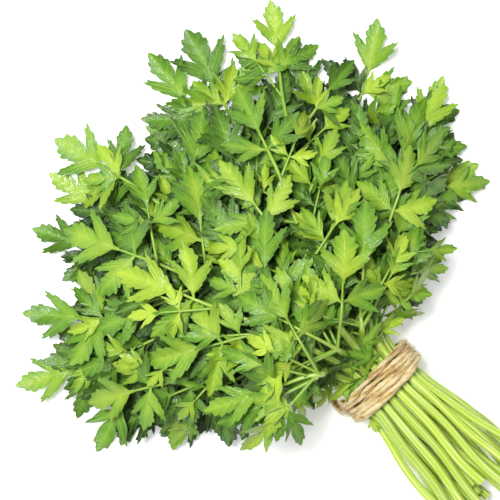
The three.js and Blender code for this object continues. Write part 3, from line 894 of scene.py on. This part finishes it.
def collar_sprays(spray, hub_height):
    """Two small leaflets at a spray's hub, between its larger ones."""
    draw = draws_from(int(COLLAR_SEED * (spray["heading"] + math.pi)))
    hub = spray["root"] + spray["petiole"] * turned(spray["heading"])[0]
    for side in (-1, 1):
        yield {
            "extra": True, "single": True, "slim": spray["slim"], "root": hub, "root_height": hub_height,
            "petiole": -MIDDLE_OFFSET,
            "heading": spray["heading"] + math.radians(side * about(COLLAR_TURN, draw)),
            "length": spray["length"] * COLLAR_SIZE * (1 + COLLAR_SIZE_JITTER * draw()),
        }


def rest_on(tops, spray):
    """Heights for a smaller spray that lies over what is below it."""

    def height(plan):
        away = np.hypot(*(plan - spray["root"]).T)
        highest = spray["root_height"] + EXTRA_STEEPEST * away
        lowest = spray["root_height"] - EXTRA_HANG * away
        floor = np.maximum(tops.over(plan) + EXTRA_CLEARANCE, lowest)
        return np.clip(np.minimum(floor, highest), EXTRA_CLEARANCE, TOP)

    return height


def plan_leaves(spray, height_of):
    """A spray's leaflets with their surfaces, and the line of its petiole from the hub on."""
    ways = turned(spray["heading"])
    hub = spray["root"] + spray["petiole"] * ways[0]
    base = hub + MIDDLE_OFFSET * ways[0]
    hub_height, base_height = height_of(np.array([hub, base]))
    leaflets = []
    for leaflet in leaflets_of(spray):
        at_base = base_height if leaflet["kind"] == "middle" else hub_height
        heights = height_of(places(leaflet, leaflet["corners"]))
        bow = bow_through(leaflet, heights, at_base)
        leaflets.append((leaflet, bow))
        if leaflet["kind"] == "middle":
            inside = places(leaflet, RIB_START)[0]
            inside_height = (bow_terms(RIB_START) @ bow)[0] - RIB_DEPTH
    ends = [(*hub, hub_height - HUB_DEPTH), (*base, base_height - BASE_DEPTH), (*inside, inside_height)]
    return leaflets, ends


def plan_extra(spray, tops, leaflets, petioles):
    """Adds a smaller spray's leaflets and petiole to those that are planned."""
    leaves, ends = plan_leaves(spray, rest_on(tops, spray))
    leaflets += leaves
    petioles.append(([(*spray["root"], spray["root_height"]), *ends], EXTRA_PETIOLE_RADII))


def lay_leaves(name, leaflets, row, tools, tops, draw):
    """Lays planned leaflets down as one piece, the lower ones darker with painted shade."""
    settings = bpy.context.scene.parsley_leaves
    leaves = []
    for leaflet, bow in leaflets:
        # Painted shade: the deeper a leaflet lies under others, the darker its tone
        heights = bow_terms(TONE_PLACES) @ bow
        covered = tools["all_tops"].over(places(leaflet, TONE_PLACES)) - heights
        depth = max(0.0, float(np.median(covered)))
        light = TONE_RANGE * math.exp(-depth / TONE_DEPTH)
        tone = TONE_LEAST + light * about(TONE_SHARE, draw) + TONE_BY_ROW * row
        piece = lay_leaflet(tools["leaflets"], leaflet, bow, settings, draw, min(1, max(0, tone)))
        leaves.append(piece)
        tops.cover(coordinates(piece) / MM)
    return join(leaves, name)


def lay_petioles(petioles, tools):
    """Sweeps a thin stalk along each planned line."""

    def ridge_at(turn):
        return np.cos(PETIOLE_RIDGES * turn + np.pi / 2)

    pieces = []
    for line, radii in petioles:
        petiole = copy_of(tools["petiole"], "petiole")
        _, turn = sweep(petiole, line, radii, lambda turn, part: 1 + PETIOLE_RIDGE_DEPTH * ridge_at(turn))
        # Petioles get the painted highlight on their ridges and the full painted shade of the crown
        for name, values in (("ridge_and_highlight", ridge_at(turn)), ("crown_shade", 1.0), ("cut", 0.0), ("depth", 0.0)):
            mark(petiole, name, values)
        pieces.append(petiole)
    return pieces


def build_stalk(points, radii, tools, draw):
    """A ridged stalk, from its cut end to its end spray."""
    settings = bpy.context.scene.parsley_stalks
    twist = np.pi * draw()
    drift = RIDGE_DRIFT * draw()
    girth = about(STALK_GIRTH, draw)

    def ridge_at(turn, part):
        return np.cos(settings.ridges * turn + twist + drift * part * RIDGE_DRIFT_WAVES)

    def section(turn, part):
        broad = np.cos(2 * turn + twist * 2 + drift)
        flat = (np.sin(turn) < -UNDERSIDE) * (UNDERSIDE - np.sin(turn))
        ridges = settings.ridge_depth * ridge_at(turn, part)
        return SECTION + ridges + SECTION_OVAL * broad - SECTION_FLAT * flat

    def wander(centre, part):
        beyond = np.clip((-centre[:, 0] - TIE_HALF_LENGTH) / WOBBLE_RUN, 0, 1)
        shift = np.zeros_like(centre)
        shift[:, 1] = settings.wobble / MM * beyond * np.sin(centre[:, 0] * WOBBLE_WAVE + twist)
        return shift

    stalk = copy_of(tools["stalk"], "stalk")
    part, turn = sweep(stalk, points, [*radii * girth, *STALK_END_RADII], section, wander)
    x, _, z = coordinates(stalk).T / MM
    # Painted shade: darker among the leaves and lower down, and by a random share on the whole stalk
    crown_shade_share = np.clip((x - CROWN_SHADE_FROM) / CROWN_SHADE_RUN, 0, 1) * np.clip(CROWN_SHADE_TOP - z / CROWN_SHADE_HEIGHT, 0, 1)
    # Ridges get the painted highlight
    mark(stalk, "ridge_and_highlight", ridge_at(turn, part))
    mark(stalk, "crown_shade", crown_shade_share)
    mark(stalk, "cut", tools["cut_share"])
    mark(stalk, "depth", max(0.0, about(SHADE, draw)))
    return stalk


def build_leafy_stem(name, stem, tools, tops):
    """The stalk with its petioles, and the leaves, of one leafy stem."""
    draw = stem_draws(LOOKS_SEEDS, stem["row"], stem["index"])
    points = node_points(name)
    tops.cover_node(name)
    highest = np.array([heights_near(points, place).max() for place in stem["path"]])
    centre = np.column_stack([stem["path"], highest - stem["radius"]])
    line, _ = line_through(centre)
    along = line(np.linspace(0, 1, CENTRE_STEPS))

    def centre_at(place):
        return along[np.argmin(np.hypot(*(along[:, :2] - place).T))][2]

    petioles = []
    leaflets = []
    for spray in stem["sprays"]:

        def look_up(plan, across=turned(spray["heading"])[1]):
            """Heights of the frame's blade or petiole at each place of this spray."""
            shifts = np.array([0, PETIOLE_HALF_WIDTH, -PETIOLE_HALF_WIDTH])[:, None] * across
            found = [heights_near(points, *(place + shifts)) for place in plan]
            return np.array([(heights.max() + heights.min()) / 2 for heights in found])

        leaves, ends = plan_leaves(spray, look_up)
        leaflets += leaves
        if stem["row"] < COLLAR_ROWS:
            for collar in collar_sprays(spray, ends[0][2]):
                leaflets += plan_leaves(collar, rest_on(tops, collar))[0]
        if spray["side"] == 0:
            stalk_end = ends
        else:
            petioles.append(([(*spray["root"], centre_at(spray["root"])), *ends], PETIOLE_RADII))
    for spray in extra_sprays(stem, centre_at):
        plan_extra(spray, tops, leaflets, petioles)
    leaves = lay_leaves(name.replace("leafy_stem", "leaves"), leaflets, stem["row"], tools, tops, draw)
    dress(leaves, tools["leaf"], name)
    stalk = build_stalk([*centre, *stalk_end], stem["radius"], tools, draw)
    stalks = join([stalk, *lay_petioles(petioles, tools)], name.replace("leafy_stem", "stalk"))
    dress(stalks, tools["stem"], name)


def build_tie_shoots(tools, tops):
    """The small leaves that stand out of the bundle close to the twine."""
    draw = draws_from(SHOOTS_SEED)
    petioles = []
    leaflets = []
    for x, y, height, heading, petiole, length, slim in TIE_SHOOTS:
        plan_extra({
            "extra": True, "single": petiole < 0, "slim": slim, "root": np.array([x, y]),
            "root_height": height, "heading": math.radians(heading), "length": length, "petiole": petiole,
        }, tops, leaflets, petioles)
    leaves = lay_leaves("tie_leaves", leaflets, SHOOT_ROW, tools, tops, draw)
    dress(leaves, tools["leaf"], None)
    shoots = join(lay_petioles(petioles, tools), "tie_shoots")
    dress(shoots, tools["stem"], None)


# Materials


class Tree:
    """A material's nodes, added and linked in short lines."""

    def __init__(self, name):
        self.material = bpy.data.materials.new(name)
        self.material.use_nodes = True
        self.nodes = self.material.node_tree.nodes
        self.links = self.material.node_tree.links
        self.nodes.clear()
        self.objects = self.add("TexCoord").outputs["Object"]

    def add(self, kind, settings=None, **inputs):
        """Adds a node. An input is a value, or the output that feeds it."""
        node = self.nodes.new("ShaderNode" + kind)
        for key, value in (settings or {}).items():
            setattr(node, key, value)
        for key, value in inputs.items():
            socket = node.inputs[int(key[1:])] if key[0] == "_" else node.inputs[key.replace("_", " ")]
            if isinstance(value, bpy.types.NodeSocket):
                self.links.new(value, socket)
            elif socket.type == "RGBA":
                socket.default_value = (*value, 1)
            else:
                socket.default_value = value
        return node

    def math(self, operation, *values, clamp=False):
        """A Math node's result."""
        inputs = {f"_{k}": value for k, value in enumerate(values)}
        return self.add("Math", {"operation": operation, "use_clamp": clamp}, **inputs).outputs[0]

    def total(self, start, *terms, clamp=False):
        """A number plus terms, each a value, its weight and the middle that it is counted from."""
        for k, (value, weight, middle) in enumerate(terms, 1):
            from_middle = self.math("SUBTRACT", value, middle)
            start = self.math("MULTIPLY_ADD", from_middle, weight, start, clamp=clamp and k == len(terms))
        return start

    def ramp(self, value, low, high, first=0, last=1):
        """A number that goes from first to last as the value goes from low to high."""
        node = self.add("MapRange", Value=value, From_Min=low, From_Max=high, To_Min=first, To_Max=last)
        return node.outputs[0]

    def noise(self, vector, scale, detail=2, roughness=0.5):
        """A noise texture's number."""
        return self.add("TexNoise", Vector=vector, Scale=scale, Detail=detail, Roughness=roughness).outputs[0]

    def mix(self, factor, first, second):
        """A mix of two colours."""
        return self.add("Mix", {"data_type": "RGBA"}, _0=factor, _6=first, _7=second).outputs[2]

    def tint(self, face, mask, amount, colour):
        """A colour with some of another where the mask is high."""
        return self.mix(self.math("MULTIPLY", mask, amount), face, colour)

    def shades(self, tone, lowest, dark, middle, pale):
        """A colour that goes from dark, at the lowest tone, through middle, at a half, to pale."""
        lower = self.mix(self.ramp(tone, lowest, 0.5), dark, middle)
        return self.mix(self.ramp(tone, 0.5, 1), lower, pale)

    def bump(self, height, strength, distance):
        """Normals of a surface with fine relief."""
        return self.add("Bump", Height=height, Strength=strength, Distance=distance).outputs[0]

    def number(self, name):
        """A number that the mesh carries."""
        return self.add("Attribute", {"attribute_name": name}).outputs["Fac"]

    def finish(self, shader):
        """Makes a shader the material's surface."""
        self.add("OutputMaterial", Surface=shader.outputs[0])
        return self.material


def leaf_material():
    """Satin leaf with pale veins, puffed between them, light through the blade, and a paler underside.
    Painted shade darkens the leaves under others and the edges of each leaflet, and painted light brightens
    the uppermost.
    """
    settings = bpy.context.scene.parsley_leaves
    tree = Tree("Parsley leaf")
    _, v, _ = tree.add("SeparateXYZ", Vector=tree.add("UVMap").outputs["UV"]).outputs
    across = tree.math("ABSOLUTE", tree.math("SUBTRACT", v, 0.5))
    ripple = tree.math("PINGPONG", tree.number("tooth"), 0.5)
    veins = tree.math("MAXIMUM", tree.ramp(across, 0.012, 0.035, 1, 0), tree.ramp(ripple, 0.02, 0.1, 0.6, 0))
    fine = tree.noise(tree.objects, 900, 3)
    broad = tree.noise(tree.objects, 70)
    pucker = tree.noise(tree.objects, 330)
    cells = tree.add("TexVoronoi", {"feature": "DISTANCE_TO_EDGE"}, Vector=tree.objects, Scale=700)
    net = tree.ramp(cells.outputs[0], 0, 0.12, 1, 0)

    # Tone: random broad mottling, painted shade that darkens each leaflet towards its edges, and fine noise
    terms = ((broad, 0.6, 0.5), (across, -0.55, 0.25), (fine, 0.2, 0.5))
    tone = tree.total(tree.number("tone"), *terms, clamp=True)
    face = tree.shades(tone, 0.05, settings.shaded_leaf, settings.middle, settings.bright)
    face = tree.tint(face, veins, 0.3, settings.vein)
    face = tree.tint(face, net, 0.07, settings.vein)
    face = tree.tint(face, tree.number("under"), 0.5, settings.under)
    puff = tree.total(pucker, (ripple, 0.4, 0), (veins, -0.4, 0), (net, -0.12, 0), (fine, 0.2, 0))
    relief = tree.bump(puff, 0.55, 0.0007)
    rough = tree.ramp(broad, 0.3, 0.7, 0.22, 0.5)
    skin = tree.add("BsdfPrincipled", Base_Color=face, Roughness=rough, Normal=relief, Specular_IOR_Level=0.6)
    light = tree.mix(0.5, face, settings.bright)
    through = tree.add("BsdfTranslucent", Color=light, Normal=relief)
    return tree.finish(tree.add("MixShader", Fac=0.28, _1=skin.outputs[0], _2=through.outputs[0]))


def stem_material():
    """Ribbed stalk, paler on its ridges with a painted highlight, greener and darker with painted shade among
    the leaves and on some whole stalks, and pithy at the cut.
    """
    settings = bpy.context.scene.parsley_stalks
    tree = Tree("Parsley stem")
    stretched = tree.add("Mapping", Vector=tree.objects, Scale=(28, 750, 750)).outputs[0]
    streak = tree.noise(stretched, 1, 3)
    # Ridges and streaks are paler, partly their own colour and partly a painted highlight
    ridge_and_highlight = tree.total(tree.ramp(tree.number("ridge_and_highlight"), -0.1, 1.1), (streak, 1.8, 0.5), clamp=True)
    face = tree.mix(ridge_and_highlight, settings.groove, settings.ridge_and_highlight)
    # Painted shade: a random share on each stalk, and more among the leaves
    face = tree.tint(face, tree.number("depth"), 0.6, settings.shaded)
    face = tree.tint(face, tree.number("crown_shade"), 0.75, settings.shaded)
    face = tree.tint(face, tree.noise(tree.objects, 60), 0.25, settings.groove)
    face = tree.mix(tree.number("cut"), face, settings.cut)
    return tree.finish(tree.add(
        "BsdfPrincipled", Base_Color=face, Roughness=0.36, Normal=tree.bump(streak, 0.6, 0.0004),
        Subsurface_Weight=0.15, Subsurface_Radius=(0.002, 0.003, 0.0008), Subsurface_Scale=1,
    ))


def twine_material():
    """Dull jute with fine twisted fibres, paler with painted light where it lies furthest out and brown with
    painted shade in its gaps.
    """
    settings = bpy.context.scene.parsley_twine
    tree = Tree("Jute")
    uv = tree.add("UVMap").outputs["UV"]
    twisted = tree.add("Mapping", Vector=uv, Scale=(80, 9, 1), Rotation=(0, 0, 0.4)).outputs[0]
    fibre = tree.noise(twisted, 1, 4, 0.7)
    blotch = tree.noise(tree.objects, 260, 3)
    # Painted shade in the gaps and painted light further out, mixed with fibre and blotch noise
    lightness = tree.total(tree.number("painted_lightness"), (fibre, 1.9, 0.5), (blotch, 0.9, 0.5), clamp=True)
    face = tree.shades(lightness, 0, settings.dark, settings.tan, settings.pale)
    return tree.finish(tree.add(
        "BsdfPrincipled", Base_Color=face, Roughness=0.9, Normal=tree.bump(fibre, 0.8, 0.0006),
        Sheen_Weight=0.3, Sheen_Roughness=0.6,
    ))


def floor_material():
    """A plain pale table that also glows a little by itself, which lightens the shadows on it."""
    settings = bpy.context.scene.parsley_stage
    tree = Tree("Pale table")
    shade = tree.tint(settings.floor, tree.noise(tree.objects, 6), 0.03, (1, 1, 1))
    return tree.finish(tree.add(
        "BsdfPrincipled", Base_Color=shade, Roughness=0.8, Specular_IOR_Level=0.2,
        Emission_Color=(1, 1, 1), Emission_Strength=settings.glow,
    ))


# Twine


def twine_line(parts):
    """The twine's middle line round the stalks, by share of its length."""
    turns = parts * TWINE_TURNS
    turn = turns * 2 * np.pi - np.pi / 2
    power = 2 / TWINE_SQUARENESS

    def rounded(value):
        return np.sign(value) * np.abs(value) ** power

    wave = sum(amount * np.sin(turn * count + phase) for amount, count, phase in TWINE_WAVES)
    x = (turns - TWINE_TURNS / 2) * TWINE_PITCH
    rise = np.maximum(0, np.sin(turn)) ** 2
    x = x * (TWINE_SPREAD + (TWINE_TOP_SPREAD + TWINE_LOWER_SPREAD * (x < 0)) * rise) + wave - TWINE_SHIFT
    y = TWINE_HALF_WIDTH * rounded(np.cos(turn))
    z = TWINE_CENTRE + TWINE_HALF_HEIGHT * rounded(np.sin(turn))
    return np.stack([x, y, z], axis=1)


def build_strand(template, line, steps, settings, start_turn):
    """The plies of a strand along a line, each wound round it."""
    plies = []
    middle = line(np.linspace(0, 1, steps))
    along = lengths_along(middle)
    ahead = unit(np.gradient(middle, axis=0))
    side = unit(np.cross(ahead, [1, 0, 0]))
    other = np.cross(ahead, side)
    offset = (settings.radius - settings.ply_radius) / MM
    ply_radius = settings.ply_radius / MM
    lay = settings.lay_length / MM
    for k in range(PLIES):
        turn = 2 * np.pi * (along / lay + k / PLIES) + start_turn
        swell = 1 + sum(amount * np.sin(along * count + k * step) for amount, count, step in PLY_SWELLINGS)
        swell = swell + PLY_LOWER_SWELLING * np.clip(-middle[:, 0] / PLY_LOWER_RUN, 0, 1)
        centre = middle + offset * (side * np.cos(turn)[:, None] + other * np.sin(turn)[:, None])
        ply = copy_of(template, "ply")
        co = coordinates(ply)
        column = np.rint(co[:, 0] * (steps - 1)).astype(int)
        spin = np.arctan2(co[:, 2], co[:, 1]) + turn[column]
        strands = sum(amount * np.sin(count * spin + column * drift + phase)
                      for amount, count, drift, phase in PLY_STRANDS)
        radius = ply_radius * swell[column] * np.hypot(co[:, 1], co[:, 2]) * (1 + strands)
        place = centre[column] + side[column] * (radius * np.cos(spin))[:, None]
        place = place + other[column] * (radius * np.sin(spin))[:, None]
        place[:, 2] = np.maximum(place[:, 2], 0)
        reshape(ply, place * MM)
        # Painted shade between the strands: the further out a part of a ply lies, the lighter it is
        outward = np.linalg.norm(place - middle[column], axis=1) / (offset + ply_radius)
        mark(ply, "painted_lightness", np.clip(GAP_SHADE_SLOPE * outward - GAP_SHADE_START, 0, 1))
        plies.append(ply)
    return plies


def build_fibres(template, line, settings):
    """Loose fibres that stand off the strands."""
    draw = draws_from(FIBRES_SEED)
    fibres = []
    radius = settings.radius / MM
    for _ in range(settings.fibres):
        part = (draw() + 1) / 2
        here, ahead = line(np.array([part, min(1, part + FIBRE_STEP)]))
        along = unit(ahead - here)
        x, y, z = here
        out = np.array([x * FIBRE_OUT[0] + FIBRE_OUT_SPREAD * draw(), y * FIBRE_OUT[1], z - TWINE_CENTRE])
        out = unit(out - along * (out @ along))
        across = np.cross(along, out)
        length = about(FIBRE_LENGTH, draw)
        lean = FIBRE_LEAN * length * draw()
        start = here + radius * (FIBRE_ROOT[0] * out + FIBRE_ROOT[1] * draw() * across)
        forward = length * math.copysign(1, draw() + FIBRE_FORWARD)
        rise = about(FIBRE_RISE, draw)
        points = [start + along * forward * t + (out * rise + across * lean) * t * t for t in FIBRE_STEPS]
        fibre = copy_of(template, "fibre")
        sweep(fibre, points, np.array([1, 1, 1, FIBRE_TIP]) * settings.fibre_radius / MM)
        # Loose fibres get mostly painted light
        mark(fibre, "painted_lightness", FIBRE_LIGHTNESS)
        fibres.append(fibre)
    return fibres


# Operators


class PARSLEY_OT_leafy_stems(Operator):
    """Model every leafy stem's leaves, stalk and petioles."""

    bl_idname = "parsley.leafy_stems"
    bl_label = "Leafy stems"

    def execute(self, context):
        stalk = model_tube("stalk", STALK_RINGS, STALK_SIDES, STALK_START)
        co = coordinates(stalk)
        at_cut = (co[:, 0] < 0.5 / STALK_RINGS) & (np.hypot(co[:, 1], co[:, 2]) < CUT_RADIUS)
        tools = {
            "leaflets": model_leaflets(),
            "stalk": stalk,
            "petiole": model_tube("petiole", PETIOLE_RINGS, PETIOLE_SIDES),
            "cut_share": at_cut.astype(float),
            "leaf": leaf_material(),
            "stem": stem_material(),
            "all_tops": HeightMap(),
        }
        names = sorted(name for name in frame["nodes"] if name.startswith("leafy_stem"))
        for name in names:
            tools["all_tops"].cover_node(name)
        tops = HeightMap()
        tops.cover_node("twine")
        order = [(r, index) for r, row in enumerate(ROWS)
                 for start in (0, 1) for index in range(start, row["stalks"], 2)]
        if len(order) != len(names):
            raise RuntimeError("The frame has another number of leafy stems than the plan")
        for name, (r, index) in zip(names, order):
            build_leafy_stem(name, plan_stem(ROWS[r], index, r), tools, tops)
        build_tie_shoots(tools, tops)
        for template in (stalk, tools["petiole"], *tools["leaflets"].values()):
            bpy.data.objects.remove(template)
        return {"FINISHED"}


class PARSLEY_OT_twine(Operator):
    """Model the jute twine round the stalks."""

    bl_idname = "parsley.twine"
    bl_label = "Twine"

    def execute(self, context):
        settings = context.scene.parsley_twine
        steps = TWINE_TURNS * TWINE_STEPS
        ply = model_tube("ply", steps, PLY_SIDES)
        pieces = build_strand(ply, twine_line, steps, settings, 0)
        tail_ply = model_tube("tail", TAIL_STEPS, PLY_SIDES)
        tail, _ = line_through(TWINE_TAIL)
        pieces += build_strand(tail_ply, tail, TAIL_STEPS, settings, 1)
        fibre = model_tube("fibre", FIBRE_RINGS, FIBRE_SIDES)
        pieces += build_fibres(fibre, twine_line, settings)
        twine = join(pieces, "jute_twine")
        dress(twine, twine_material(), "twine")
        for template in (ply, tail_ply, fibre):
            bpy.data.objects.remove(template)
        return {"FINISHED"}


class PARSLEY_OT_stage(Operator):
    """Set up the table, the light and the camera."""

    bl_idname = "parsley.stage"
    bl_label = "Stage"

    def execute(self, context):
        settings = context.scene.parsley_stage
        deselect()
        bpy.ops.mesh.primitive_plane_add(size=2 * settings.floor_half)
        floor = context.object
        floor.name = floor.data.name = "table"
        floor.data.materials.append(floor_material())

        world = bpy.data.worlds.new("Studio")
        world.use_nodes = True
        background = world.node_tree.nodes["Background"]
        background.inputs["Color"].default_value = (1, 1, 1, 1)
        background.inputs["Strength"].default_value = settings.fill
        context.scene.world = world
        context.scene.view_settings.view_transform = "Standard"

        centre = settings.view_centre
        deselect()
        bpy.ops.object.light_add(type="AREA", location=(centre + LAMP_PLACE[0], *LAMP_PLACE[1:]))
        lamp = context.object
        lamp.name = "key_lamp"
        lamp.data.size = LAMP_SIZE
        lamp.data.energy = settings.key_power
        aim = np.array([centre - lamp.location[0], -lamp.location[1], -lamp.location[2]])
        lamp.rotation_euler = (math.acos(-aim[2] / np.linalg.norm(aim)), 0, math.atan2(aim[0], -aim[1]))

        place = (centre, 0, settings.camera_height)
        bpy.ops.object.camera_add(location=place, rotation=(0, 0, settings.view_turn))
        camera = context.object
        camera.data.sensor_width = SENSOR_WIDTH
        distance = settings.camera_height - TWINE_CENTRE * MM
        camera.data.lens = SENSOR_WIDTH * distance / settings.view_width
        context.scene.camera = camera
        return {"FINISHED"}


class PARSLEY_PT_bunch(Panel):
    """The bunch's pieces in the 3D view's sidebar."""

    bl_idname = "PARSLEY_PT_bunch"
    bl_label = "Parsley bunch"
    bl_space_type = "VIEW_3D"
    bl_region_type = "UI"
    bl_category = "Parsley"

    def draw(self, context):
        for operator in OPERATORS:
            self.layout.operator(operator.bl_idname)
        for name in GROUPS:
            settings = getattr(context.scene, name)
            for key in settings.bl_rna.properties.keys():
                if key not in ("rna_type", "name"):
                    self.layout.prop(settings, key)


OPERATORS = (PARSLEY_OT_leafy_stems, PARSLEY_OT_twine, PARSLEY_OT_stage)
GROUPS = {
    "parsley_leaves": LeafSettings,
    "parsley_stalks": StalkSettings,
    "parsley_twine": TwineSettings,
    "parsley_stage": StageSettings,
}


def register():
    """Adds the settings, operators and panel."""
    for name, group in GROUPS.items():
        bpy.utils.register_class(group)
        setattr(bpy.types.Scene, name, PointerProperty(type=group))
    for kind in (*OPERATORS, PARSLEY_PT_bunch):
        bpy.utils.register_class(kind)


def unregister():
    """Takes them away again."""
    for kind in (PARSLEY_PT_bunch, *reversed(OPERATORS)):
        bpy.utils.unregister_class(kind)
    for name, group in reversed(GROUPS.items()):
        delattr(bpy.types.Scene, name)
        bpy.utils.unregister_class(group)


def main():
    """Builds the dressed bunch and its stage."""
    register()
    bpy.ops.parsley.leafy_stems()
    bpy.ops.parsley.twine()
    bpy.ops.parsley.stage()


if __name__ == "__main__":
    main()
